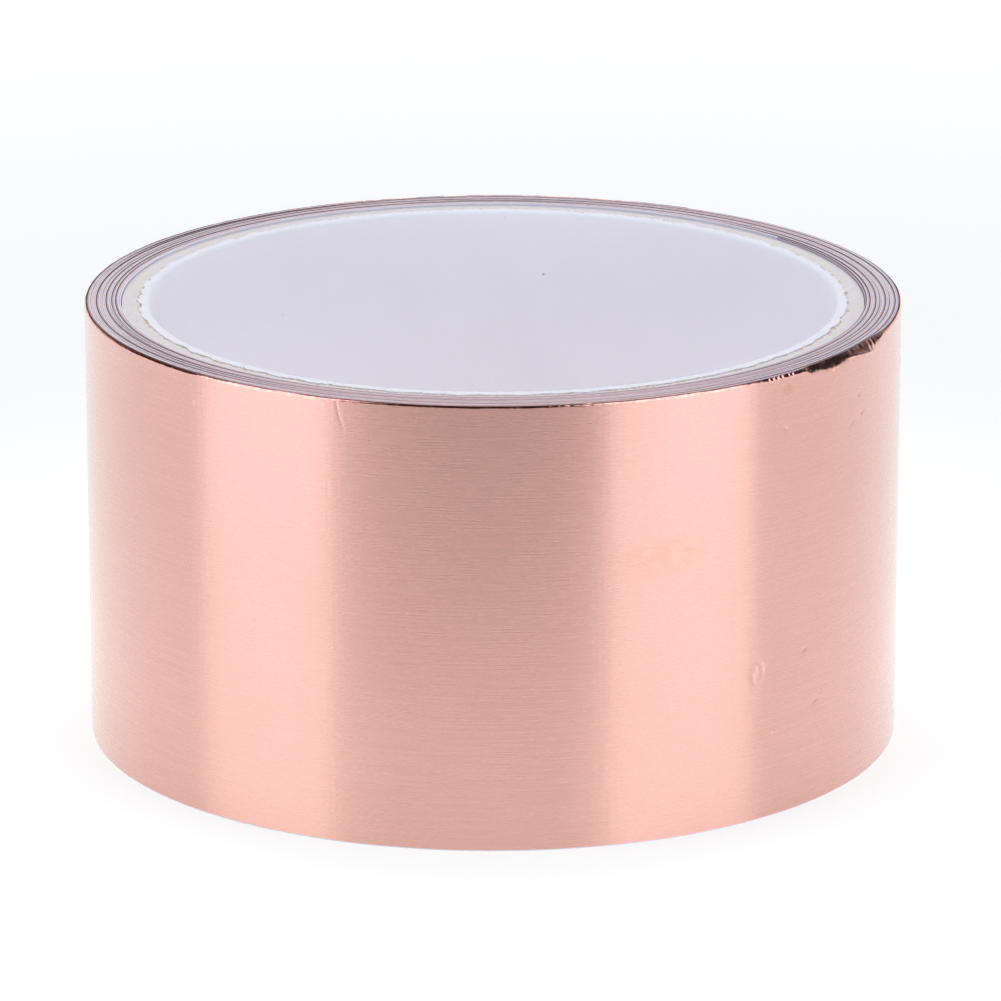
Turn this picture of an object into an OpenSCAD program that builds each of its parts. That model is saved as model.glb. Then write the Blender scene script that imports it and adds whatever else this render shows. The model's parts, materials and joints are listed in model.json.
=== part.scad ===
// A roll of adhesive copper foil tape on a paper core, standing on its end.
// One long strip of three layers is wound clockwise outward, seen from above:
// a paper release liner, an adhesive layer and the copper foil.
// Origin: centre of the core's bore at the bottom face. +Z is the roll's axis.

/* [Core] */
// Inside diameter of the core, an easy slip fit over a 3 inch (76.2 mm) hub
core_bore_d = 77; // [72:0.1:82]
// Length of the core, a little under the tape's width
core_len = 49.6; // [45:0.1:50]
// Thickness of the white ply that lines the bore
inner_ply_t = 1.1; // [0.6:0.05:1.5]
// Thickness of the grey board ply
board_ply_t = 1.9; // [1:0.05:3]
// Thickness of the pale wrapper ply outside the board
outer_ply_t = 0.14; // [0.1:0.01:0.4]

/* [Tape] */
// Width of the release liner, the nominal width of the tape
liner_w = 50; // [45:0.1:60]
// Thickness of the release liner
liner_t = 0.11; // [0.08:0.005:0.15]
// How far the foil and the adhesive stop short of the liner at each edge
foil_inset = 0.15; // [0.05:0.05:0.5]
// Thickness of the adhesive layer
adhesive_t = 0.04; // [0.02:0.005:0.06]
// Thickness of the copper foil
foil_t = 0.055; // [0.03:0.005:0.1]
// Air left between one wrap and the next
wrap_gap = 0.01; // [0.005:0.005:0.02]

/* [Winding] */
// Whole turns in the winding, before the part turn that reaches the free end
whole_turns = 18; // [6:1:24]
// Azimuth at which the strip starts on the core, in degrees from +X
start_azimuth = 38; // [30:1:50]
// Azimuth of the strip's free end on the outside of the roll
end_azimuth = 60; // [56:1:70]

/* [Start tab] */
// Thickness of the double-sided tab that holds the strip's start to the core
tab_t = 0.08; // [0.05:0.01:0.12]
// Angle of the core that the tab covers
tab_angle = 24; // [10:1:40]
// Width of the tab along the roll's axis
tab_w = 40; // [20:1:44]

/* [Free tail] */
// Angle that each equal link covers
link_angle = 12; // [8:1:14]
// Angle that the tip link covers
tip_angle = 18; // [14:1:20]
// Angle of foil at the tip that peels off its liner
peel_angle = 12; // [8:1:13]
// How far the free tail stands off the wrap under it
tail_standoff = 0.05; // [0.03:0.01:0.1]
// Gap left at each seam across the tail, along the strip
seam_gap = 0.02; // [0.01:0.01:0.05]

/* [Hidden] */
$fn = 180;

// Equal links that stand for the flexible tail, before the tip link
plain_links = 4;

// Glue lines between the plies and between the layers of the strip
bond_gap = 0.002;
ply_gap = 0.01;

// Radii of the core, from the bore outward
bore_r = core_bore_d / 2;
inner_ply_r = bore_r + inner_ply_t;
board_r = inner_ply_r + ply_gap + board_ply_t;
core_r = board_r + ply_gap + outer_ply_t;
tab_r = core_r + ply_gap;
first_wrap_r = tab_r + tab_t + ply_gap;

// Width of the foil and of the adhesive under it
foil_w = liner_w - 2 * foil_inset;

// Depth of each layer's inner face, measured outward from the liner's inner face
adhesive_depth = liner_t;
foil_depth = liner_t + adhesive_t;
wrap_pitch = liner_t + adhesive_t + foil_t + wrap_gap;

// Length of strip in degrees, split into half turns and a last part of one
strip_sweep = 360 * whole_turns + (start_azimuth - end_azimuth + 360) % 360;
half_turns = floor(strip_sweep / 180);
last_sweep = strip_sweep - 180 * half_turns;

// The liner's last whole turn and the part turn after it are a node of their own
outer_turn_halves = 2;
first_outer_half_turn = half_turns - outer_turn_halves;

// The free tail is the end of that last part
tail_sweep = plain_links * link_angle + tip_angle;
tail_links = plain_links + 1;
seam_angle = seam_gap / first_wrap_r * 180 / PI;

// The strip is drawn in its own frame, turned by start_azimuth from the roll's:
// there it starts on the core at azimuth 0 and runs clockwise.
tail_root = end_azimuth + tail_sweep - start_azimuth;
tail_end = end_azimuth - start_azimuth;
peel_root = tail_end + peel_angle;

// A spiral of half rings: each is half a pitch larger than the one before,
// and every second one is centred half a pitch towards the strip's start.
function half_turn_centre(k) = [(k % 2) * wrap_pitch / 2, 0, 0];
function half_turn_radius(k) = first_wrap_r + k * wrap_pitch / 2;
function half_turn_start(k) = 180 * (k % 2);

// Azimuths of a tail link's two ends: the root end is nearer the roll
function link_root(i) = tail_root - (i - 1) * link_angle;
function link_tip(i) = (i == tail_links) ? tail_end : link_root(i) - link_angle;

// A curved wall of rectangular section that runs clockwise from an azimuth
module curved_wall(r, t, w, from_azimuth, sweep) {
    rotate([0, 0, from_azimuth])
        rotate_extrude(angle = -sweep)
            translate([r, 0]) square([t, w]);
}

// One layer's wall in half turn k of the strip
module layer_wall(k, depth, t, w, from_azimuth, sweep, standoff = 0) {
    translate(half_turn_centre(k) + [0, 0, (liner_w - w) / 2])
        curved_wall(half_turn_radius(k) + depth + standoff, t, w, from_azimuth, sweep);
}

// One layer's whole half turns, from number first to number last
module layer_half_turns(depth, t, w, first, last) {
    rotate([0, 0, start_azimuth])
        for (k = [first : last]) {
            layer_wall(k, depth, t, w, half_turn_start(k), 180);
        }
}

// One layer from half turn number first to the root of the free tail
module layer_winding(depth, t, w, first = 0) {
    layer_half_turns(depth, t, w, first, half_turns - 1);
    rotate([0, 0, start_azimuth])
        layer_wall(half_turns, depth, t, w, half_turn_start(half_turns), last_sweep - tail_sweep);
}

// One layer of the tail between two azimuths, with the seam gap at the root end
module layer_tail(depth, t, w, tip, root) {
    rotate([0, 0, start_azimuth])
        layer_wall(half_turns, depth, t, w, root - seam_angle, root - seam_angle - tip, tail_standoff);
}

module core_ply(r, t) {
    difference() {
        cylinder(h = core_len, r = r + t);
        translate([0, 0, -1]) cylinder(h = core_len + 2, r = r);
    }
}

module core_inner_ply() {
    color([0.93, 0.93, 0.95]) core_ply(bore_r, inner_ply_t);
}

module core_board_ply() {
    color([0.78, 0.79, 0.76]) core_ply(inner_ply_r + ply_gap, board_ply_t);
}

module core_outer_ply() {
    color([0.86, 0.85, 0.84]) core_ply(board_r + ply_gap, outer_ply_t);
}

module start_tab() {
    color([0.9, 0.88, 0.8])
        translate([0, 0, (core_len - tab_w) / 2])
            curved_wall(tab_r, tab_t, tab_w, start_azimuth, tab_angle);
}

// The inner and the outer turns of one liner: the outer ones back the foil that is touched
module liner_winding() {
    color([0.84, 0.81, 0.87])
        layer_half_turns(0, liner_t - bond_gap, liner_w, 0, first_outer_half_turn - 1);
}

module liner_outer_turns() {
    color([0.84, 0.81, 0.87])
        layer_winding(0, liner_t - bond_gap, liner_w, first_outer_half_turn);
}

module adhesive_winding() {
    color([0.75, 0.72, 0.68])
        layer_winding(adhesive_depth, adhesive_t - bond_gap, foil_w);
}

module foil_winding() {
    color([0.85, 0.6, 0.5]) layer_winding(foil_depth, foil_t, foil_w);
}

module liner_tail(i) {
    color([0.84, 0.81, 0.87])
        layer_tail(0, liner_t - bond_gap, liner_w, link_tip(i), link_root(i));
}

// On the tip link the adhesive and the foil stop where the peeling end begins
module adhesive_tail(i) {
    tip = max(link_tip(i), peel_root);
    color([0.75, 0.72, 0.68])
        layer_tail(adhesive_depth, adhesive_t - bond_gap, foil_w, tip, link_root(i));
}

module foil_tail(i) {
    tip = max(link_tip(i), peel_root);
    color([0.85, 0.6, 0.5])
        layer_tail(foil_depth, foil_t, foil_w, tip, link_root(i));
}

module peel_adhesive() {
    color([0.75, 0.72, 0.68])
        layer_tail(adhesive_depth, adhesive_t - bond_gap, foil_w, tail_end, peel_root);
}

module peel_foil() {
    color([0.85, 0.6, 0.5])
        layer_tail(foil_depth, foil_t, foil_w, tail_end, peel_root);
}

core_inner_ply();
core_board_ply();
core_outer_ply();
start_tab();
liner_winding();
liner_outer_turns();
adhesive_winding();
foil_winding();
for (i = [1 : tail_links]) {
    liner_tail(i);
    adhesive_tail(i);
    foil_tail(i);
}
peel_adhesive();
peel_foil();
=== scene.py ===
import json
import math

import bmesh
import bpy
import numpy as np
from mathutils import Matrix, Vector, noise

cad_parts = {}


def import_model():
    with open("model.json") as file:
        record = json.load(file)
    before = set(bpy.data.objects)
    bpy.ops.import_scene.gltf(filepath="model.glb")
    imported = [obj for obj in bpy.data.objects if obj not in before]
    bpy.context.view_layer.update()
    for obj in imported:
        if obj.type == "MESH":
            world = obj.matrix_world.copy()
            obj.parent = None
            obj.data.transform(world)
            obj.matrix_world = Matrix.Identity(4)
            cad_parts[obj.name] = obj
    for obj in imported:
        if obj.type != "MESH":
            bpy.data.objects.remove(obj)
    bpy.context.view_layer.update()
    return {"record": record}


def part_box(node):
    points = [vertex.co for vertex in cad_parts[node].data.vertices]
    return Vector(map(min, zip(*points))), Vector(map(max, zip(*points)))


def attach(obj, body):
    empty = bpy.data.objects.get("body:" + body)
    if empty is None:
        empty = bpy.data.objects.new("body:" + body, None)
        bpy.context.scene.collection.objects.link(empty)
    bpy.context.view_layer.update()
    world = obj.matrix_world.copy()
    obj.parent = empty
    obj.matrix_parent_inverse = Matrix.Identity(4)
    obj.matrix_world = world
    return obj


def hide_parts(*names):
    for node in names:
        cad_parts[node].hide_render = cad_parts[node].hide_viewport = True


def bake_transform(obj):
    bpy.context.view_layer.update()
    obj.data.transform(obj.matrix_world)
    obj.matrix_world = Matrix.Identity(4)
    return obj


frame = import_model()

# Lengths are in millimetres and angles in degrees until a mesh is made.
MM = 0.001

# The strip's design: three layers wound clockwise outward, measured in degrees swept from its start.
LINER_T = 0.108
ADHESIVE_T = 0.038
FOIL_T = 0.055
WRAP_PITCH = 0.215
ADHESIVE_DEPTH = 0.11
FOIL_DEPTH = 0.15
FOIL_INSET = 0.15
START_AZIMUTH = 38.0
END_AZIMUTH = 60.0
WHOLE_TURNS = 18
LINK_ANGLE = 12.0
TIP_ANGLE = 18.0
PEEL_ANGLE = 12.0
TAIL_LINKS = 5
TAIL_STANDOFF = 0.05

TAIL_SWEEP = (TAIL_LINKS - 1) * LINK_ANGLE + TIP_ANGLE
STRIP_SWEEP = 360 * WHOLE_TURNS + (START_AZIMUTH - END_AZIMUTH) % 360
HALF_TURNS = int(STRIP_SWEEP // 180)
TAIL_START = STRIP_SWEEP - TAIL_SWEEP
PEEL_START = STRIP_SWEEP - PEEL_ANGLE

# Sizes read from the frame.
BORE_R = next(m for m in frame["record"]["mounts"] if m["name"] == "core_bore")["dims"]["r_mm"]


def outer_radius(node):
    low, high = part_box(node)
    return (high.x - low.x) / 2 / MM


INNER_PLY_R = outer_radius("core_inner_ply")
BOARD_R = outer_radius("core_board_ply")
CORE_R = outer_radius("core_outer_ply")
CORE_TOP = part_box("core_board_ply")[1].z / MM
LINER_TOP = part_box("liner_outer_turns")[1].z / MM
TAB_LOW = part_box("start_tab")[0].z / MM
TAB_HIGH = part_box("start_tab")[1].z / MM
TAB_T = 0.08
TAB_ANGLE = 24.0
FIRST_WRAP_R = CORE_R + 0.01 + TAB_T + 0.01
OUTER_R = FIRST_WRAP_R + HALF_TURNS * WRAP_PITCH / 2 + FOIL_DEPTH + FOIL_T + TAIL_STANDOFF

# On the outermost turn, "right of the front" is this many degrees minus the swept angle.
FRONT_SWEPT = 360 * WHOLE_TURNS + START_AZIMUTH + 90
MM_PER_DEGREE = math.radians(OUTER_R)

# The outermost foil starts a little under the free tail, and its top edge is rolled in.
OUTER_FOIL_START = STRIP_SWEEP - 360 - TAIL_SWEEP - 10
FOIL_LOW = FOIL_INSET
EDGE_TOP = LINER_TOP - 0.06
LOWERED_LINER_TOP = LINER_TOP - 0.38
EDGE_STEPS = 5


# ---------------------------------------------------------------- noise and blending

def smoothstep(low, high, value):
    t = np.clip((value - low) / (high - low), 0, 1)
    return t * t * (3 - 2 * t)


def bumps(seed, x, y=0.0):
    """Smooth noise from about -1 to 1 over x and y, where a bump is about one unit across."""
    x, y = np.broadcast_arrays(np.asarray(x, float), np.asarray(y, float))
    values = [noise.noise((a, b, seed)) for a, b in zip(x.ravel(), y.ravel())]
    return np.array(values).reshape(x.shape)


def bell(value, centre, width):
    return np.exp(-(((value - centre) / width) ** 2))


# ---------------------------------------------------------------- where the strip lies

def right_of_front(azimuth):
    return (azimuth + 90 + 180) % 360 - 180


def crush_height(angle):
    """Height of the crushed stretch of the roll's top edge, right of the front, at each angle."""
    arc = angle * MM_PER_DEGREE
    reach = smoothstep(46.5, 49, angle) * (1 - smoothstep(66, 71.5, angle))
    claws = 0.30 * bumps(6.0, arc / 0.5) * bell(angle, 67, 2.5)
    return reach * (0.95 + 0.40 * smoothstep(49, 53, angle) + 0.30 * bumps(3.0, arc / 4) + claws)


def burnished_height(angle):
    """Height of the crushed copper that is burnished dark, down to a ragged line."""
    arc = angle * MM_PER_DEGREE
    ragged = 0.45 * bumps(4.0, arc / 1.1) + 0.20 * bumps(5.0, arc / 0.4) + 0.7 * bell(angle, 54, 0.5)
    return crush_height(angle) * (0.85 + ragged)


def crush(angle, z):
    """How far the crushed edge is pushed in towards the roll's axis."""
    height = np.maximum(crush_height(angle), 0.02)
    pushed = smoothstep(LINER_TOP - height, LINER_TOP + 0.25 * height, z)
    return 0.38 * height * pushed


def strip_xy(swept, depth, z):
    """Where a point of the strip lies: depth is measured outward from the liner's inner face."""
    swept, depth, z = np.broadcast_arrays(*(np.asarray(value, float) for value in (swept, depth, z)))
    half = np.minimum(np.floor(swept / 180), HALF_TURNS)
    radius = FIRST_WRAP_R + half * WRAP_PITCH / 2 + depth
    radius = radius + TAIL_STANDOFF * smoothstep(TAIL_START - 8, TAIL_START, swept)
    angle = right_of_front(START_AZIMUTH - swept)
    near = (angle > 44) & (angle < 74) & (z > LINER_TOP - 3) & (radius > OUTER_R - 1.2)
    pushed = np.zeros(radius.shape)
    pushed[near] = crush(angle[near], z[near]) * (1 - smoothstep(0.15, 1.2, OUTER_R - radius[near]))
    radius = radius - pushed
    azimuth = np.radians(START_AZIMUTH - swept)
    offset = (half % 2) * WRAP_PITCH / 2
    start = math.radians(START_AZIMUTH)
    x = offset * math.cos(start) + radius * np.cos(azimuth)
    y = offset * math.sin(start) + radius * np.sin(azimuth)
    return x, y


# ---------------------------------------------------------------- meshes

def new_object(name, verts, faces, materials, sharp=35):
    mesh = bpy.data.meshes.new(name)
    mesh.from_pydata(verts.tolist(), [], faces)
    for m in materials:
        mesh.materials.append(m)
    bm = bmesh.new()
    bm.from_mesh(mesh)
    bmesh.ops.recalc_face_normals(bm, faces=bm.faces)
    bm.to_mesh(mesh)
    bm.free()
    mesh.shade_smooth()
    mesh.set_sharp_from_angle(angle=math.radians(sharp))
    obj = bpy.data.objects.new(name, mesh)
    bpy.context.scene.collection.objects.link(obj)
    return obj


def tube_faces(stations, points, closed=False):
    """Quads of a tube: a loop of points drawn at each station, with end caps unless the stations close up."""
    i = np.arange(stations if closed else stations - 1)[:, None]
    j = np.arange(points)[None, :]
    a = i * points + j
    b = i * points + (j + 1) % points
    c = ((i + 1) % stations) * points + (j + 1) % points
    d = ((i + 1) % stations) * points + j
    faces = np.stack([a, b, c, d], -1).reshape(-1, 4).tolist()
    if not closed:
        faces.append(list(range(points))[::-1])
        faces.append(list(range((stations - 1) * points, stations * points)))
    return faces


def add_strip_coordinates(obj, swept, z):
    """Stores where each vertex is on the strip: mm along it, mm across it, and the number of its turn."""
    swept, z = np.broadcast_arrays(swept, z)
    values = np.stack([swept * MM_PER_DEGREE, z, swept / 360], -1).astype(np.float32)
    attribute = obj.data.attributes.new("strip", "FLOAT_VECTOR", "POINT")
    attribute.data.foreach_set("vector", values.ravel())


def strip_object(name, swept, depth, z, materials, sharp=35):
    """A length of one layer: depth and z hold one cross-section loop for each station of swept."""
    swept = swept[:, None]
    x, y = strip_xy(swept, depth, z)
    verts = np.stack([x, y, z], -1).reshape(-1, 3) * MM
    obj = new_object(name, verts, tube_faces(*x.shape), materials, sharp)
    add_strip_coordinates(obj, swept, z)
    return obj


def ring_object(name, azimuth, radius, z, materials, sharp=35):
    """A full ring: radius and z hold one cross-section loop for each azimuth."""
    angle = np.radians(azimuth)[:, None]
    verts = np.stack([radius * np.cos(angle), radius * np.sin(angle), z], -1).reshape(-1, 3) * MM
    return new_object(name, verts, tube_faces(*radius.shape, closed=True), materials, sharp)


def belongs(obj, body, slot, *nodes):
    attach(obj, body)
    if nodes:
        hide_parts(*nodes)


# ---------------------------------------------------------------- materials

class Nodes:
    """Short calls for building one material's node tree."""

    def __init__(self, name):
        self.material = bpy.data.materials.new(name)
        self.material.use_nodes = True
        self.tree = self.material.node_tree
        self.shader = self.tree.nodes["Principled BSDF"]

    def set(self, **values):
        for name, value in values.items():
            self.shader.inputs[name.replace("_", " ").title().replace("Ior", "IOR")].default_value = value

    def new(self, kind, **settings):
        node = self.tree.nodes.new("ShaderNode" + kind)
        for name, value in settings.items():
            setattr(node, name, value)
        return node

    def link(self, output, target):
        self.tree.links.new(output, target)

    def strip_coordinates(self):
        return self.new("Attribute", attribute_name="strip").outputs["Vector"]

    def object_coordinates(self):
        """The place in the row frame, in millimetres."""
        place = self.new("TexCoord").outputs["Object"]
        return self.vector("SCALE", place, scale=1 / MM)

    def vector(self, operation, a, b=None, scale=None):
        node = self.new("VectorMath", operation=operation)
        self.link(a, node.inputs[0])
        if b is not None:
            node.inputs[1].default_value = b
        if scale is not None:
            node.inputs["Scale"].default_value = scale
        return node.outputs["Value" if operation in ("LENGTH", "DISTANCE") else "Vector"]

    def math(self, operation, a, b=0.0):
        node = self.new("Math", operation=operation)
        for socket, value in zip(node.inputs, (a, b)):
            if isinstance(value, (int, float)):
                socket.default_value = value
            else:
                self.link(value, socket)
        return node.outputs["Value"]

    def noise(self, place, scale, stretch=(1, 1, 1), detail=2.0):
        """Noise with bumps of about 1 / scale mm, squeezed by stretch along each axis."""
        node = self.new("TexNoise")
        node.inputs["Scale"].default_value = scale
        node.inputs["Detail"].default_value = detail
        self.link(self.vector("MULTIPLY", place, stretch), node.inputs["Vector"])
        return node.outputs["Fac"]

    def fade(self, value, low, high, start=0.0, end=1.0):
        node = self.new("MapRange", interpolation_type="SMOOTHSTEP")
        self.link(value, node.inputs["Value"])
        for name, number in (("From Min", low), ("From Max", high), ("To Min", start), ("To Max", end)):
            node.inputs[name].default_value = number
        return node.outputs["Result"]

    def mix(self, factor, a, b):
        node = self.new("Mix", data_type="RGBA")
        self.link(factor, node.inputs["Factor"])
        for socket, colour in ((node.inputs[6], a), (node.inputs[7], b)):
            if isinstance(colour, tuple):
                socket.default_value = (*colour, 1)
            else:
                self.link(colour, socket)
        return node.outputs[2]

    def bump(self, height, distance, under=None):
        node = self.new("Bump")
        node.inputs["Distance"].default_value = distance * MM
        self.link(height, node.inputs["Height"])
        if under is not None:
            self.link(under, node.inputs["Normal"])
        return node.outputs["Normal"]

    def finish(self, colour, roughness=None, normal=None):
        self.link(colour, self.shader.inputs["Base Color"])
        if roughness is not None:
            self.link(roughness, self.shader.inputs["Roughness"])
        if normal is not None:
            self.link(normal, self.shader.inputs["Normal"])
        return self.material


# Stains on the outermost turn: degrees right of the front, height, half length, half height,
# strength and colour.
STAINS = [
    (23.2, 32.2, 6.5, 2.6, 0.6, (0.88, 0.42, 0.29)),
    (44.0, 48.2, 0.9, 0.8, 1.0, (0.80, 0.36, 0.22)),
]


def copper_foil():
    """Rolled copper: fine grain along the strip, faint ripples across it, a cloudy tint and stains."""
    n = Nodes("copper_foil")
    n.set(metallic=1.0, anisotropic=1.0, anisotropic_rotation=0.25, coat_weight=1.0, coat_roughness=0.2)
    tangent = n.new("Tangent", direction_type="RADIAL", axis="Z")
    n.link(tangent.outputs["Tangent"], n.shader.inputs["Tangent"])
    place = n.strip_coordinates()
    grain = n.noise(place, 1.0, (0.10, 3.2, 0), 3.0)
    ripples = n.noise(place, 1.0, (2.5, 0.08, 0), 1.0)
    clouds = n.noise(place, 0.06, (1, 1, 0), 3.0)
    tint = n.mix(clouds, (0.875, 0.463, 0.385), (0.905, 0.513, 0.433))
    tint = n.mix(n.fade(grain, 0.35, 0.75, 0.0, 0.1), tint, (0.80, 0.42, 0.34))
    blotches = n.fade(n.noise(place, 0.8, (0.7, 1.3, 0), 3.0), 0.32, 0.68)
    for angle, z, half_length, half_height, strength, colour in STAINS:
        middle = ((FRONT_SWEPT - angle) * MM_PER_DEGREE, z, 0)
        offset = n.vector("SUBTRACT", place, middle)
        offset = n.vector("MULTIPLY", offset, (1 / half_length, 1 / half_height, 0))
        patch = n.fade(n.vector("LENGTH", offset), 1.1, 0.35)
        stain = n.math("MULTIPLY", n.math("MULTIPLY", patch, blotches), strength)
        tint = n.mix(stain, tint, colour)
    roughness = n.fade(grain, 0.2, 0.8, 0.262, 0.288)
    normal = n.bump(ripples, 0.007)
    return n.finish(tint, roughness, normal)


def copper_edge():
    """The rolled and crushed edge, burnished smoother and darker than the face."""
    n = Nodes("copper_edge")
    n.set(metallic=0.98, coat_weight=0.15, coat_roughness=0.08)
    place = n.strip_coordinates()
    worn = n.noise(place, 1.0, (2.0, 2.0, 0), 3.0)
    tint = n.mix(n.fade(worn, 0.35, 0.7), (0.78, 0.35, 0.28), (0.93, 0.54, 0.46))
    roughness = n.fade(worn, 0.3, 0.7, 0.12, 0.22)
    return n.finish(tint, roughness, n.bump(worn, 0.01))


BAND_TURNS = 2.53


def gap_shade_bands(n, place, low, high):
    """0 to 1 in bands of a few turns each, left open by uneven pull while winding: painted shade for their
    gaps, fainter at the front.
    """
    turn = n.new("SeparateXYZ")
    n.link(place, turn.inputs["Vector"])
    drift = n.noise(place, 0.012, (1, 0, 0), 1.0)
    drift = n.math("MULTIPLY", drift, 0.6)
    phase = n.math("ADD", n.math("MULTIPLY", turn.outputs["Z"], 1 / BAND_TURNS), drift)
    wave = n.math("SINE", n.math("MULTIPLY", phase, 2 * math.pi))
    spot = n.new("SeparateXYZ")
    n.link(n.object_coordinates(), spot.inputs["Vector"])
    away_from_front = n.fade(spot.outputs["Y"], -44, -24, 0.25, 1.0)
    return n.math("MULTIPLY", n.fade(wave, low, high), away_from_front)


def release_liner():
    """Lavender-white silicone paper, with painted shade in bands of a few turns, for the gaps between them.
    """
    n = Nodes("release_liner")
    n.set(coat_weight=0.1, coat_roughness=0.4)
    place = n.strip_coordinates()
    fibre = n.noise(place, 1.0, (3.0, 3.0, 1.0), 4.0)
    paper = n.mix(fibre, (0.82, 0.785, 0.87), (0.94, 0.91, 0.98))
    # Painted shade: the paper darkens in bands of turns, for the shade in the gaps between them.
    paper = n.mix(n.math("MULTIPLY", gap_shade_bands(n, place, 0.4, 0.9), 0.7), paper, (0.38, 0.25, 0.31))
    roughness = n.fade(fibre, 0.2, 0.8, 0.45, 0.6)
    return n.finish(paper, roughness, n.bump(fibre, 0.01))


def wound_edges(name, pale, dark, metallic):
    """The edges of the wound foil and adhesive: pale with paper dust, with painted shade in the open bands.
    """
    n = Nodes(name)
    n.set(metallic=metallic, specular_ior_level=0.3)
    place = n.strip_coordinates()
    dust = n.noise(place, 1.0, (1.5, 3.0, 1.0), 4.0)
    soft = tuple(0.8 * value for value in pale)
    edge = n.mix(n.fade(dust, 0.3, 0.7), soft, pale)
    # Painted shade: the edges turn to the dark colour in the open bands, for the shade in their gaps.
    edge = n.mix(gap_shade_bands(n, place, 0.2, 0.6), edge, dark)
    return n.finish(edge, n.fade(dust, 0.2, 0.8, 0.4, 0.6), n.bump(dust, 0.01))


def adhesive():
    """Hazy tacky acrylic with a fine orange peel."""
    n = Nodes("adhesive")
    n.set(ior=1.47, specular_ior_level=0.5)
    place = n.strip_coordinates()
    haze = n.noise(place, 0.5, (1, 1, 0), 4.0)
    peel = n.noise(place, 2.5, (1, 1, 0), 2.0)
    colour = n.mix(haze, (0.34, 0.25, 0.22), (0.46, 0.36, 0.32))
    roughness = n.fade(haze, 0.3, 0.7, 0.25, 0.4)
    return n.finish(colour, roughness, n.bump(peel, 0.01))


def white_paper():
    """The core's white lining: smooth calendered paper, fluffy where its end is torn."""
    n = Nodes("core_white_paper")
    n.set(specular_ior_level=0.3)
    place = n.object_coordinates()
    pulp = n.noise(place, 0.15, (1, 1, 1), 5.0)
    fibre = n.noise(place, 5.0, (1, 1, 1), 3.0)
    paper = n.mix(pulp, (0.90, 0.865, 0.92), (0.93, 0.895, 0.95))
    height = n.new("SeparateXYZ")
    n.link(place, height.inputs["Vector"])
    lip = n.fade(height.outputs["Z"], CORE_TOP - 0.5, CORE_TOP + 0.05)
    paper = n.mix(lip, paper, (0.87, 0.875, 0.93))
    speck = n.fade(n.noise(place, 1.1, (1, 1, 1), 0.0), 0.885, 0.90)
    paper = n.mix(speck, paper, (0.45, 0.42, 0.42))
    roughness = n.fade(fibre, 0.2, 0.8, 0.55, 0.7)
    normal = n.bump(fibre, 0.02, n.bump(pulp, 0.06))
    return n.finish(paper, roughness, normal)


def core_board():
    """Grey pressed board, its cut end fibrous, with tan fluff along the torn lining."""
    n = Nodes("core_board")
    n.set(specular_ior_level=0.25)
    place = n.object_coordinates()
    radius = n.vector("LENGTH", n.vector("MULTIPLY", place, (1, 1, 0)))
    pulp = n.noise(place, 1.2, (1, 1, 1), 5.0)
    board = n.mix(pulp, (0.72, 0.69, 0.68), (0.83, 0.80, 0.79))
    flecks = n.fade(n.noise(place, 3.0, (1, 1, 1), 2.0), 0.60, 0.72, 0.0, 0.4)
    board = n.mix(flecks, board, (0.50, 0.45, 0.36))
    ragged = n.math("ADD", radius, n.math("MULTIPLY", n.noise(place, 1.4, (1, 1, 1), 3.0), 2.0))
    tan = n.fade(ragged, INNER_PLY_R + 1.32, INNER_PLY_R + 1.12)
    board = n.mix(tan, board, (0.62, 0.50, 0.34))
    roughness = n.fade(pulp, 0.2, 0.8, 0.75, 0.95)
    return n.finish(board, roughness, n.bump(pulp, 0.08))


def wrapper_paper():
    n = Nodes("core_wrapper")
    n.set(specular_ior_level=0.3)
    place = n.object_coordinates()
    fibre = n.noise(place, 2.0, (1, 1, 1), 4.0)
    paper = n.mix(fibre, (0.74, 0.72, 0.76), (0.86, 0.84, 0.88))
    return n.finish(paper, n.fade(fibre, 0.2, 0.8, 0.6, 0.8), n.bump(fibre, 0.03))


def starter_tab_tissue():
    n = Nodes("starter_tab")
    n.set(specular_ior_level=0.4)
    place = n.strip_coordinates()
    fibre = n.noise(place, 1.5, (1, 1, 1), 4.0)
    tissue = n.mix(fibre, (0.74, 0.71, 0.60), (0.82, 0.80, 0.70))
    return n.finish(tissue, n.fade(fibre, 0.2, 0.8, 0.4, 0.6), n.bump(fibre, 0.02))


COPPER_FACE = copper_foil()
COPPER_EDGE = copper_edge()
LINER = release_liner()
ADHESIVE = adhesive()
# The second colour of each is painted shade, for the gaps in the open bands.
WOUND_FOIL = wound_edges("wound_foil", (0.90, 0.66, 0.64), (0.12, 0.035, 0.04), 0.5)
WOUND_ADHESIVE = wound_edges("wound_adhesive", (0.84, 0.80, 0.88), (0.06, 0.03, 0.035), 0.0)
WHITE_PAPER = white_paper()
BOARD = core_board()
WRAPPER = wrapper_paper()
TAB = starter_tab_tissue()


# ---------------------------------------------------------------- the core

def core_tilt(azimuth):
    """The core's end stands nearly flush at the back and a little deeper at the front."""
    return 0.14 * np.sin(np.radians(azimuth))


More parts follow.
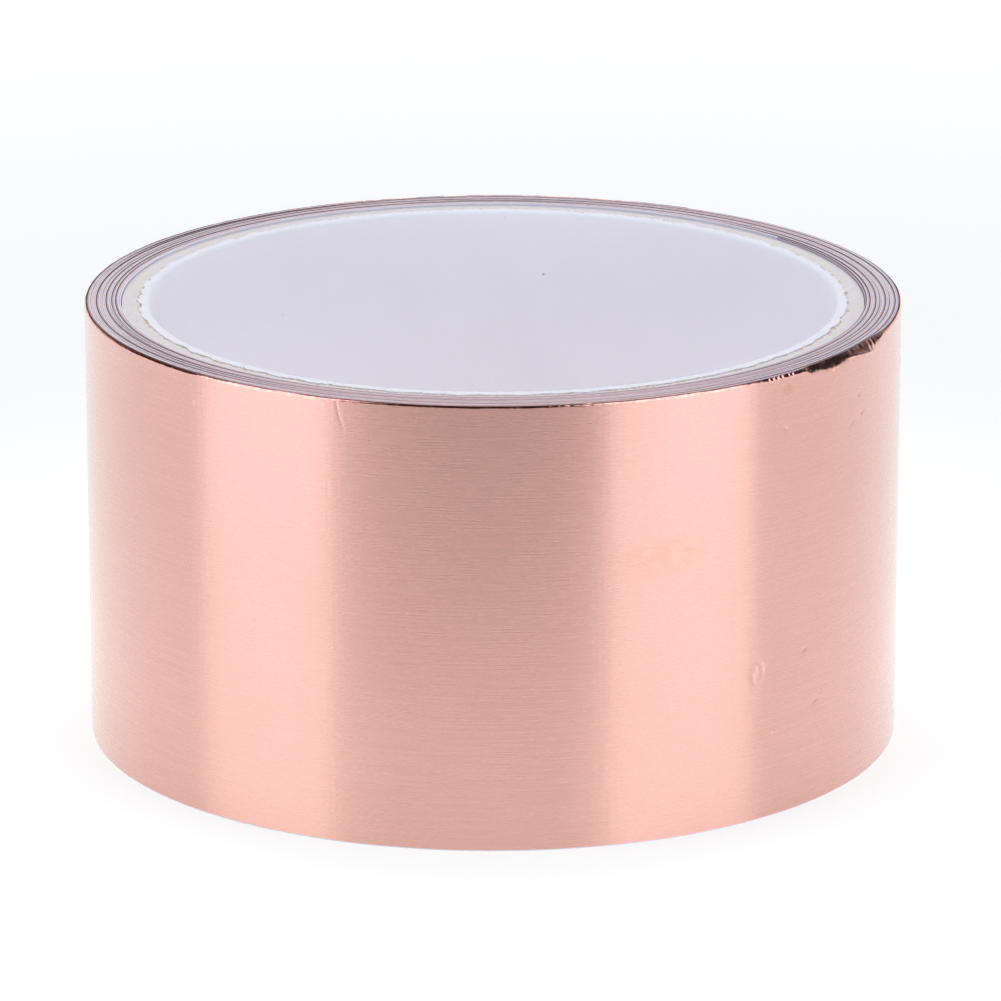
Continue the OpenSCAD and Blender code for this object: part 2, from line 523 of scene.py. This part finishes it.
def core_lining():
    """The white ply: its torn end stands proud as a fluffy lip with a ragged outer edge."""
    azimuth = np.arange(0, 360, 0.25)
    arc = azimuth * math.radians(INNER_PLY_R)
    fluff = bumps(11.0, arc / 0.45)[:, None]
    lumps = bumps(12.0, arc / 2.3)[:, None]
    wide = bumps(13.0, arc / 9.0)[:, None]
    ragged = INNER_PLY_R + 0.14 + 0.40 * fluff + 0.45 * lumps
    top = CORE_TOP + core_tilt(azimuth)[:, None]
    crest = top + 0.16 + 0.08 * fluff + 0.06 * lumps
    inner = BORE_R + 0.14 + 0.14 * lumps + 0.10 * wide
    one = np.ones_like(top)
    low = 0.08 * one
    bore = BORE_R * one
    back = INNER_PLY_R * one - 0.01
    loop = [
        (bore, low), (bore, 15 * one), (bore, 32 * one), (bore, top - 0.9), (bore + 0.02, top - 0.35),
        (inner, top - 0.05 + 0.04 * fluff), (inner + 0.16, crest - 0.03), (inner + 0.45, crest),
        (ragged - 0.25, crest - 0.02), (ragged, crest - 0.07), (ragged - 0.02, crest - 0.14),
        (back, top - 0.3), (back, low), (bore + 0.3, 0 * one),
    ]
    radius = np.concatenate([r for r, z in loop], 1)
    z = np.concatenate([z for r, z in loop], 1)
    return ring_object("core_lining", azimuth, radius, z, [WHITE_PAPER], 60)


def core_ring(name, r0, r1, drop, rough, step, material):
    """A board or paper ply with a fibrous cut end."""
    azimuth = np.arange(0, 360, step)
    arc = azimuth * math.radians(r1)
    across = np.linspace(0, 1, 7 if r1 - r0 > 1 else 3)
    r = np.concatenate([[r0, r0], r0 + (r1 - r0) * across, [r1, r1, (r0 + r1) / 2]])
    radius = np.tile(r, (len(azimuth), 1))
    top = CORE_TOP - drop + core_tilt(azimuth)[:, None] * np.ones(len(across))
    fuzz = bumps(21.0, arc[:, None] / 0.5, radius[:, 2:-3] / 0.35)
    end = top + rough * fuzz
    low = np.full((len(azimuth), 1), 0.05)
    z = np.concatenate([low, top[:, :1] - 0.5, end, top[:, :1] - 0.5, low, low - 0.05], 1)
    return ring_object(name, azimuth, radius, z, [material], 60)


def starter_tab():
    """The double-sided tab that holds the strip's start to the core."""
    azimuth = START_AZIMUTH - np.arange(0, TAB_ANGLE + 0.5, 1.0)
    angle = np.radians(azimuth)[:, None]
    r = CORE_R + 0.01 + TAB_T * np.array([[0, 1, 1, 0]])
    z = np.array([[TAB_LOW, TAB_LOW, TAB_HIGH, TAB_HIGH]]) + 0.1 * bumps(31.0, azimuth / 1.5)[:, None]
    verts = np.stack([r * np.cos(angle), r * np.sin(angle), z], -1).reshape(-1, 3) * MM
    obj = new_object("starter_tab", verts, tube_faces(len(azimuth), 4), [TAB])
    add_strip_coordinates(obj, START_AZIMUTH - azimuth[:, None], z)
    return obj


belongs(core_lining(), "roll", "core_white_paper", "core_inner_ply")
board = core_ring("core_board", INNER_PLY_R, BOARD_R, 0.04, 0.05, 0.5, BOARD)
belongs(board, "roll", "core_board", "core_board_ply")
wrapper = core_ring("core_wrapper", BOARD_R + 0.01, CORE_R, -0.02, 0.03, 0.5, WRAPPER)
belongs(wrapper, "roll", "core_wrapper", "core_outer_ply")
belongs(starter_tab(), "roll", "starter_tab", "start_tab")


# ---------------------------------------------------------------- the winding

def stations(start, end, step):
    return np.linspace(start, end, max(2, round((end - start) / step) + 1))


def edge_lift(swept, seed, height):
    """How far a layer's edge wanders up or down: by turn and slowly along the strip."""
    return height * bumps(seed, swept / 360 * 3.1, swept / 160)


def flush_turns(swept):
    """1 where the layers' edges are flush with the liner, 0 in the open bands, which look dark."""
    return 1 - smoothstep(0.1, 0.8, np.sin(2 * math.pi * swept / 360 / BAND_TURNS))


def layer_section(swept, depth, t, inset, lift):
    """A plain rectangular cross-section, its top edge moved by lift."""
    one = np.ones((len(swept), 1))
    d = one * np.array([[depth, depth + t, depth + t, depth]])
    low = one * inset
    high = LINER_TOP - inset + lift[:, None]
    return d, np.concatenate([low, low, high, high], 1)


def liner_coil():
    """The liner's wound turns. Its outermost turn ends lower, under the foil's rolled edge."""
    swept = stations(0, TAIL_START, 2.0)
    rolled_over = smoothstep(OUTER_FOIL_START, OUTER_FOIL_START + 10, swept)
    free = edge_lift(swept, 41.0, 0.05) - 0.06
    lift = (1 - rolled_over) * free + rolled_over * (LOWERED_LINER_TOP - LINER_TOP)
    depth, z = layer_section(swept, 0, LINER_T, 0, lift)
    return strip_object("liner_coil", swept, depth, z, [LINER])


def adhesive_coil():
    swept = stations(0, TAIL_START, 2.0)
    rolled_over = smoothstep(OUTER_FOIL_START, OUTER_FOIL_START + 10, swept)
    lift = 0.13 * flush_turns(swept) - 0.03
    lift = (1 - rolled_over) * lift - 0.31 * rolled_over
    depth, z = layer_section(swept, ADHESIVE_DEPTH, ADHESIVE_T, FOIL_INSET, lift)
    return strip_object("adhesive_coil", swept, depth, z, [WOUND_ADHESIVE])


def foil_coil():
    """The foil's inner turns: here and there an edge stands above the liner and glints."""
    swept = stations(0, OUTER_FOIL_START, 1.5)
    proud = smoothstep(0.25, 0.6, bumps(43.0, swept / 360 * 2.3, swept / 120))
    lift = edge_lift(swept, 42.0, 0.03) + 0.14 * flush_turns(swept) + 0.06 * proud
    depth, z = layer_section(swept, FOIL_DEPTH, FOIL_T, FOIL_INSET, lift)
    return strip_object("foil_coil", swept, depth, z, [WOUND_FOIL])


belongs(liner_coil(), "roll", "release_liner", "liner_winding", "liner_outer_turns")
belongs(adhesive_coil(), "roll", "adhesive", "adhesive_winding")
belongs(foil_coil(), "roll", "copper_foil", "foil_winding")


# ---------------------------------------------------------------- the outermost foil

# Small marks of handling: degrees right of the front, height, length along the strip, length across
# it, depth (negative stands out), and slant in degrees.
DENTS = [
    (9.5, 7.5, 0.6, 0.14, 0.018, 4),
    (13.0, 16.0, 0.16, 0.14, 0.014, 0),
    (8.0, 25.0, 0.16, 0.16, 0.014, 0),
    (-5.4, 18.7, 0.18, 0.16, -0.014, 0),
    (-51.0, 12.7, 0.2, 0.18, -0.016, 0),
    (6.7, 48.2, 0.2, 0.2, 0.022, 0),
    (-45.0, 46.7, 0.25, 0.22, -0.03, 30),
    (-57.0, 48.3, 0.35, 0.14, 0.02, 15),
    (61.0, 44.7, 0.45, 0.17, 0.12, 14),
    (62.0, 42.4, 0.55, 0.16, 0.12, 24),
    (59.0, 41.8, 0.7, 0.15, 0.08, 20),
    (43.6, 44.0, 0.3, 0.2, 0.08, 20),
    (48.0, 18.0, 0.45, 0.16, 0.10, 24),
    (50.5, 11.7, 0.5, 0.15, 0.10, 12),
    (52.0, 12.1, 0.4, 0.14, -0.05, 12),
    (42.0, 9.6, 0.2, 0.18, -0.07, 0),
]
# The same six values: a pinched loop, a pressed ring on the right.
LOOP_DENT = (39.0, 16.8, 0.7, 1.15, 0.05, -12)
# A fold line that runs down from the top edge: degrees right of the front and height, from its low end.
FOLD = [(-21.2, 44.8), (-20.2, 46.6), (-20.9, 48.0), (-21.4, 50.0)]
# A ridge out of the crushed edge: its two ends, as degrees right of the front and height.
RIDGE = ((57.0, 49.5), (68.5, 48.4))


def local_axes(angle, z, mark):
    """A point's place in a mark's own slanted axes, in multiples of its two half lengths."""
    centre, height, along, across, depth, slant = mark
    x = (angle - centre) * MM_PER_DEGREE
    y = z - height
    c = math.cos(math.radians(slant))
    s = math.sin(math.radians(slant))
    return (x * c + y * s) / along, (y * c - x * s) / across


def handling_marks(angle, z):
    """How far the face is pushed in by dents, the loop, the fold and the ridge."""
    total = np.zeros(np.broadcast(angle, z).shape)
    for mark in DENTS:
        u, v = local_axes(angle, z, mark)
        total += mark[4] * np.exp(-u * u - v * v)
    u, v = local_axes(angle, z, LOOP_DENT)
    total += LOOP_DENT[4] * bell(np.hypot(u, v), 1, 0.26) * (0.3 + 0.7 * smoothstep(-0.8, 0.9, v - 0.6 * u))
    path = np.interp(z, [point[1] for point in FOLD], [point[0] for point in FOLD])
    fold = bell((angle - path) * MM_PER_DEGREE, 0, 0.13) * smoothstep(FOLD[0][1], FOLD[2][1], z)
    (angle0, z0), (angle1, z1) = RIDGE
    share = np.clip((angle - angle0) / (angle1 - angle0), 0, 1)
    ridge = bell(z, z0 + (z1 - z0) * share, 0.16) * bell(share, 0.5, 0.33) * (share > 0) * (share < 1)
    return total + 0.02 * fold - 0.16 * ridge


def slow_waves(swept, z):
    """The soft unevenness of hand-wound foil."""
    arc = swept * MM_PER_DEGREE
    return 0.010 * bumps(52.0, arc / 14, z / 22) + 0.0025 * bumps(53.0, arc / 3.5, z / 9)


def edge_turn(swept):
    """How far the top edge is rolled in, in degrees."""
    arc = swept * MM_PER_DEGREE
    angle = FRONT_SWEPT - swept
    start = smoothstep(OUTER_FOIL_START, OUTER_FOIL_START + 10, swept)
    turn = 47 + 10 * bumps(54.0, arc / 3.0) + 6 * bumps(55.0, arc / 0.7)
    ticks = smoothstep(38.5, 40, angle) * (1 - smoothstep(47, 49, angle))
    nick = bell(angle, 8.5, 1.4)
    return start * (turn + (22 * ticks + 18 * nick) * bumps(56.0, arc / 0.33))


def edge_radius(swept):
    """Radius of the rolled edge."""
    arc = swept * MM_PER_DEGREE
    angle = FRONT_SWEPT - swept
    wider = 0.22 * smoothstep(39, 41, angle) * (1 - smoothstep(70, 74, angle))
    return 0.42 + wider + 0.06 * bumps(57.0, arc / 4.0) + 0.03 * bumps(58.0, arc / 0.6)


def foil_section(swept, rows, relief):
    """Cross-section of the outermost foil: its face up to the rolled edge, round it and down its back."""
    s = swept[:, None]
    arc = s * MM_PER_DEGREE
    radius = edge_radius(s)
    turn = np.radians(edge_turn(s))
    top = EDGE_TOP + 0.03 * bumps(59.0, arc / 2.5) + 0.02 * bumps(60.0, arc / 0.5)
    fold = top - radius * np.sin(turn)
    below = LINER_TOP - 1.5
    low = FOIL_LOW + 0.03 * bumps(61.0, arc / 6)
    share = np.linspace(0, 1, 8)[None, 1:]
    face_z = np.concatenate([low, np.repeat(rows[None, :], len(s), 0), below + (fold - below) * share], 1)
    outer = FOIL_DEPTH + FOIL_T
    face_d = outer + relief(s, face_z)
    steps = turn * np.linspace(0, 1, EDGE_STEPS + 1)[None, :]
    lip_d = outer - radius * (1 - np.cos(steps[:, 1:]))
    lip_z = fold + radius * np.sin(steps[:, 1:])
    inner_r = radius - FOIL_T
    under = steps[:, ::-1]
    under_d = outer - radius + inner_r * np.cos(under)
    under_z = fold + inner_r * np.sin(under)
    back_z = np.concatenate([np.repeat(np.array([[48.2, 36.0, 24.0, 12.0]]), len(s), 0), low], 1)
    back_d = np.full(back_z.shape, FOIL_DEPTH)
    depth = np.concatenate([face_d, lip_d, under_d, back_d], 1)
    return depth, np.concatenate([face_z, lip_z, under_z, back_z], 1), face_z.shape[1]


def burnish(obj, swept, z, face_rows):
    """Gives the rolled edge, and what of the crushed stretch leans in, the burnished copper."""
    points = z.shape[1]
    angle = FRONT_SWEPT - swept
    crushed_from = LINER_TOP - burnished_height(angle)
    crushed = (z[:, :face_rows] > crushed_from[:, None]) & (angle[:, None] > 45) & (angle[:, None] < 72)
    index = np.zeros((len(swept) - 1, points), int)
    index[:, face_rows - 1:face_rows + EDGE_STEPS] = 1
    index[:, :face_rows][crushed[:-1]] = 1
    flat = np.concatenate([index.ravel(), [0, 0]]).astype(np.int32)
    obj.data.polygons.foreach_set("material_index", flat)


def outer_foil(name, swept, rows, relief):
    depth, z, face_rows = foil_section(swept, rows, relief)
    obj = strip_object(name, swept, depth, z, [COPPER_FACE, COPPER_EDGE], 50)
    burnish(obj, swept, z, face_rows)
    return obj


def face_relief(swept, z):
    return slow_waves(swept, z) - handling_marks(FRONT_SWEPT - swept, z)


def marked_stations():
    """Stations of the outermost turn, closer together where it is marked or crushed."""
    angles = [stations(FRONT_SWEPT - TAIL_START, FRONT_SWEPT - OUTER_FOIL_START, 1.0)]
    angles += [stations(38, 49, 0.14), stations(49, 72, 0.26)]
    angles += [stations(6, 11, 0.2), stations(-22, -19.6, 0.12)]
    for mark in DENTS + [LOOP_DENT]:
        reach = 2.2 * max(mark[2], mark[3]) / MM_PER_DEGREE
        angles.append(stations(mark[0] - reach, mark[0] + reach, reach / 4))
    return np.unique(np.round(FRONT_SWEPT - np.concatenate(angles), 2))


ROW_GRID = 0.16
ROW_TOP = LINER_TOP - 1.6


def marked_rows():
    """Heights of the face's rows, closer together where it is marked."""
    rows = [stations(1.0, ROW_TOP, 1.6), stations(FOLD[0][1] - 0.4, ROW_TOP, 0.3)]
    for mark in DENTS + [LOOP_DENT]:
        reach = 2.2 * max(mark[3], mark[2] * abs(math.sin(math.radians(mark[5]))))
        rows.append(stations(mark[1] - reach, mark[1] + reach, reach / 3))
    rows = np.unique(np.round(np.concatenate(rows) / ROW_GRID)) * ROW_GRID
    return rows[(rows > 0.4) & (rows < ROW_TOP + 0.05)]


outer = outer_foil("outer_foil", marked_stations(), marked_rows(), face_relief)
belongs(outer, "roll", "copper_foil")


# ---------------------------------------------------------------- the free tail

PLAIN_ROWS = stations(1.5, ROW_TOP, 3.0)
PEEL_BEND = 7.0


def hinge_point(swept):
    """A point on the foil's outer face at swept, halfway up the strip, in metres."""
    x, y = strip_xy(swept, FOIL_DEPTH + FOIL_T, LINER_TOP / 2)
    return (float(x) * MM, float(y) * MM, LINER_TOP / 2 * MM)


def bend(obj, swept, length, node):
    """Bakes the piece's place into its mesh and hides the part it stands for; the hinge points at swept and
    length degrees further on are worked out but not used.
    """
    hinge_point(swept)
    hinge_point(swept + length)
    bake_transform(obj)
    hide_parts(node)


def tail_stations(start, end):
    return stations(start, end, 0.4)


def liner_link(i, start, end):
    swept = tail_stations(start, end)
    depth, z = layer_section(swept, 0, LINER_T, 0, np.full(len(swept), LOWERED_LINER_TOP - LINER_TOP))
    return strip_object(f"tail_liner_{i}", swept, depth, z, [LINER])


def adhesive_link(name, start, end):
    swept = tail_stations(start, end)
    depth, z = layer_section(swept, ADHESIVE_DEPTH, ADHESIVE_T, FOIL_INSET, np.full(len(swept), -0.31))
    return strip_object(name, swept, depth, z, [ADHESIVE])


def foil_link(name, start, end):
    return outer_foil(name, tail_stations(start, end), PLAIN_ROWS, slow_waves)


for i in range(1, TAIL_LINKS + 1):
    hinge = TAIL_START + (i - 1) * LINK_ANGLE
    liner_end = STRIP_SWEEP if i == TAIL_LINKS else hinge + LINK_ANGLE
    foil_end = PEEL_START if i == TAIL_LINKS else hinge + LINK_ANGLE
    length = foil_end - hinge
    liner = liner_link(i, hinge, liner_end)
    bend(liner, hinge, length, f"liner_tail_{i}")
    glue = adhesive_link(f"tail_adhesive_{i}", hinge, foil_end)
    bend(glue, hinge, length, f"adhesive_tail_{i}")
    foil = foil_link(f"tail_foil_{i}", hinge, foil_end)
    bend(foil, hinge, length, f"foil_tail_{i}")

glue = adhesive_link("peel_end_adhesive", PEEL_START, STRIP_SWEEP)
bend(glue, PEEL_START, PEEL_BEND, "peel_adhesive")
foil = foil_link("peel_end_foil", PEEL_START, STRIP_SWEEP)
bend(foil, PEEL_START, PEEL_BEND, "peel_foil")


# ---------------------------------------------------------------- stage, light, camera

FLOOR_GLOW = 0.50
NEAR_GLOW = 0.12
FAR_GLOW = 0.43
# Painted shade on the floor in front of the roll: its centre, the radius it is solid to, and its rim, in
# metres.
FLOOR_SHADE_CENTRE = (0, -0.42, 0.0005)
FLOOR_SHADE_SOLID = 0.205
FLOOR_SHADE_RADIUS = 0.35
ROOM_LOW = 0.98
ROOM_FRONT = 0.01
ROOM_BACK = 0.60


def floor_material():
    """A white light table, brightest round the roll and far away."""
    n = Nodes("floor")
    n.set(base_color=(0.5, 0.5, 0.5, 1), roughness=0.8, emission_color=(1.0, 1.03, 1.02, 1))
    reach = n.vector("LENGTH", n.new("NewGeometry").outputs["Position"])
    near = n.fade(reach, 0.06, 0.16, NEAR_GLOW, 0.0)
    glow = n.math("ADD", near, n.fade(reach, 0.15, 0.7, 0.0, FAR_GLOW))
    n.link(n.math("ADD", glow, FLOOR_GLOW), n.shader.inputs["Emission Strength"])
    return n.material


def painted_floor_shade_material():
    """Painted shade for the floor in front of the roll: grey, thinning out towards its rim."""
    n = Nodes("painted_floor_shade")
    n.set(base_color=(0.5, 0.5, 0.5, 1), roughness=0.8)
    away = n.vector("DISTANCE", n.new("NewGeometry").outputs["Position"], FLOOR_SHADE_CENTRE)
    n.link(n.fade(away, FLOOR_SHADE_SOLID, FLOOR_SHADE_RADIUS, 1.0, 0.0), n.shader.inputs["Alpha"])
    return n.material


def stage_plane(name, centre, half, material):
    x, y, z = centre
    corners = [(x + i * half, y + j * half, z) for i, j in ((-1, -1), (1, -1), (1, 1), (-1, 1))]
    mesh = bpy.data.meshes.new(name)
    mesh.from_pydata(corners, [], [(0, 1, 2, 3)])
    mesh.materials.append(material)
    obj = bpy.data.objects.new(name, mesh)
    bpy.context.scene.collection.objects.link(obj)
    return obj


def painted_floor_shade():
    """A grey sheet of painted shade on the light table in front of the roll, for a darker floor and room
    there, seen only in reflections.
    """
    obj = stage_plane("painted_floor_shade", FLOOR_SHADE_CENTRE, FLOOR_SHADE_RADIUS, painted_floor_shade_material())
    obj.visible_camera = False
    obj.visible_shadow = False


def softbox(name, azimuth, distance, height, width, tall, radiance, colour=(1, 1, 1)):
    """A soft area light at an azimuth right of the front, facing the roll, in metres."""
    a = math.radians(azimuth)
    place = Vector((math.sin(a) * distance, -math.cos(a) * distance, height))
    light = bpy.data.lights.new(name, "AREA")
    light.shape = "RECTANGLE"
    light.size = width
    light.size_y = tall
    light.energy = radiance * math.pi * width * tall
    light.color = colour
    obj = bpy.data.objects.new(name, light)
    obj.location = place
    obj.rotation_mode = "QUATERNION"
    obj.rotation_quaternion = (place - Vector((0, 0, 0.025))).to_track_quat("Z", "Y")
    obj.visible_camera = False
    bpy.context.scene.collection.objects.link(obj)


def world():
    """A pale backdrop round the table up to the horizon, and above it a dim room, darkest at the front."""
    w = bpy.data.worlds.new("studio")
    w.use_nodes = True
    nodes, links = w.node_tree.nodes, w.node_tree.links
    direction = nodes.new("ShaderNodeTexCoord")
    split = nodes.new("ShaderNodeSeparateXYZ")
    links.new(direction.outputs["Generated"], split.inputs["Vector"])

    def fade(value, low, high, start, end):
        node = nodes.new("ShaderNodeMapRange")
        node.interpolation_type = "SMOOTHSTEP"
        links.new(value, node.inputs["Value"])
        for name, number in (("From Min", low), ("From Max", high)):
            node.inputs[name].default_value = number
        for name, number in (("To Min", start), ("To Max", end)):
            if isinstance(number, float):
                node.inputs[name].default_value = number
            else:
                links.new(number, node.inputs[name])
        return node.outputs["Result"]

    room = fade(split.outputs["Y"], 0.5, 0.85, ROOM_FRONT, ROOM_BACK)
    strength = fade(split.outputs["Z"], 0.04, 0.12, ROOM_LOW, room)
    background = nodes["Background"]
    background.inputs["Color"].default_value = (0.99, 0.98, 1.0, 1)
    links.new(strength, background.inputs["Strength"])
    bpy.context.scene.world = w


def camera():
    elevation = math.radians(16.715)
    distance = 0.7651
    aim = Vector((0.84, 0.23, 25.76)) * MM
    cam = bpy.data.cameras.new("camera")
    cam.sensor_width = 36
    cam.lens = 242.57
    cam.clip_start = 0.05
    cam.clip_end = 20
    obj = bpy.data.objects.new("camera", cam)
    back = Vector((0, -math.cos(elevation), math.sin(elevation)))
    obj.location = aim + back * distance
    obj.rotation_mode = "QUATERNION"
    obj.rotation_quaternion = back.to_track_quat("Z", "Y")
    bpy.context.scene.collection.objects.link(obj)
    bpy.context.scene.camera = obj


stage_plane("floor", (0, 0, 0), 4, floor_material())
# Painted shade on the floor in front of the roll, seen only in reflections.
painted_floor_shade()
softbox("key_left", -64.2, 0.6, 0.30, 0.504, 0.6, 1.85, (0.94, 1.0, 1.11))
softbox("key_right", 52.5, 0.6, 0.30, 0.542, 0.6, 1.85, (0.94, 1.0, 1.11))
softbox("top", 180, 0.15, 0.9, 0.8, 0.7, 3.2, (1.0, 0.98, 1.0))
world()
camera()
bpy.context.scene.view_settings.view_transform = "Standard"
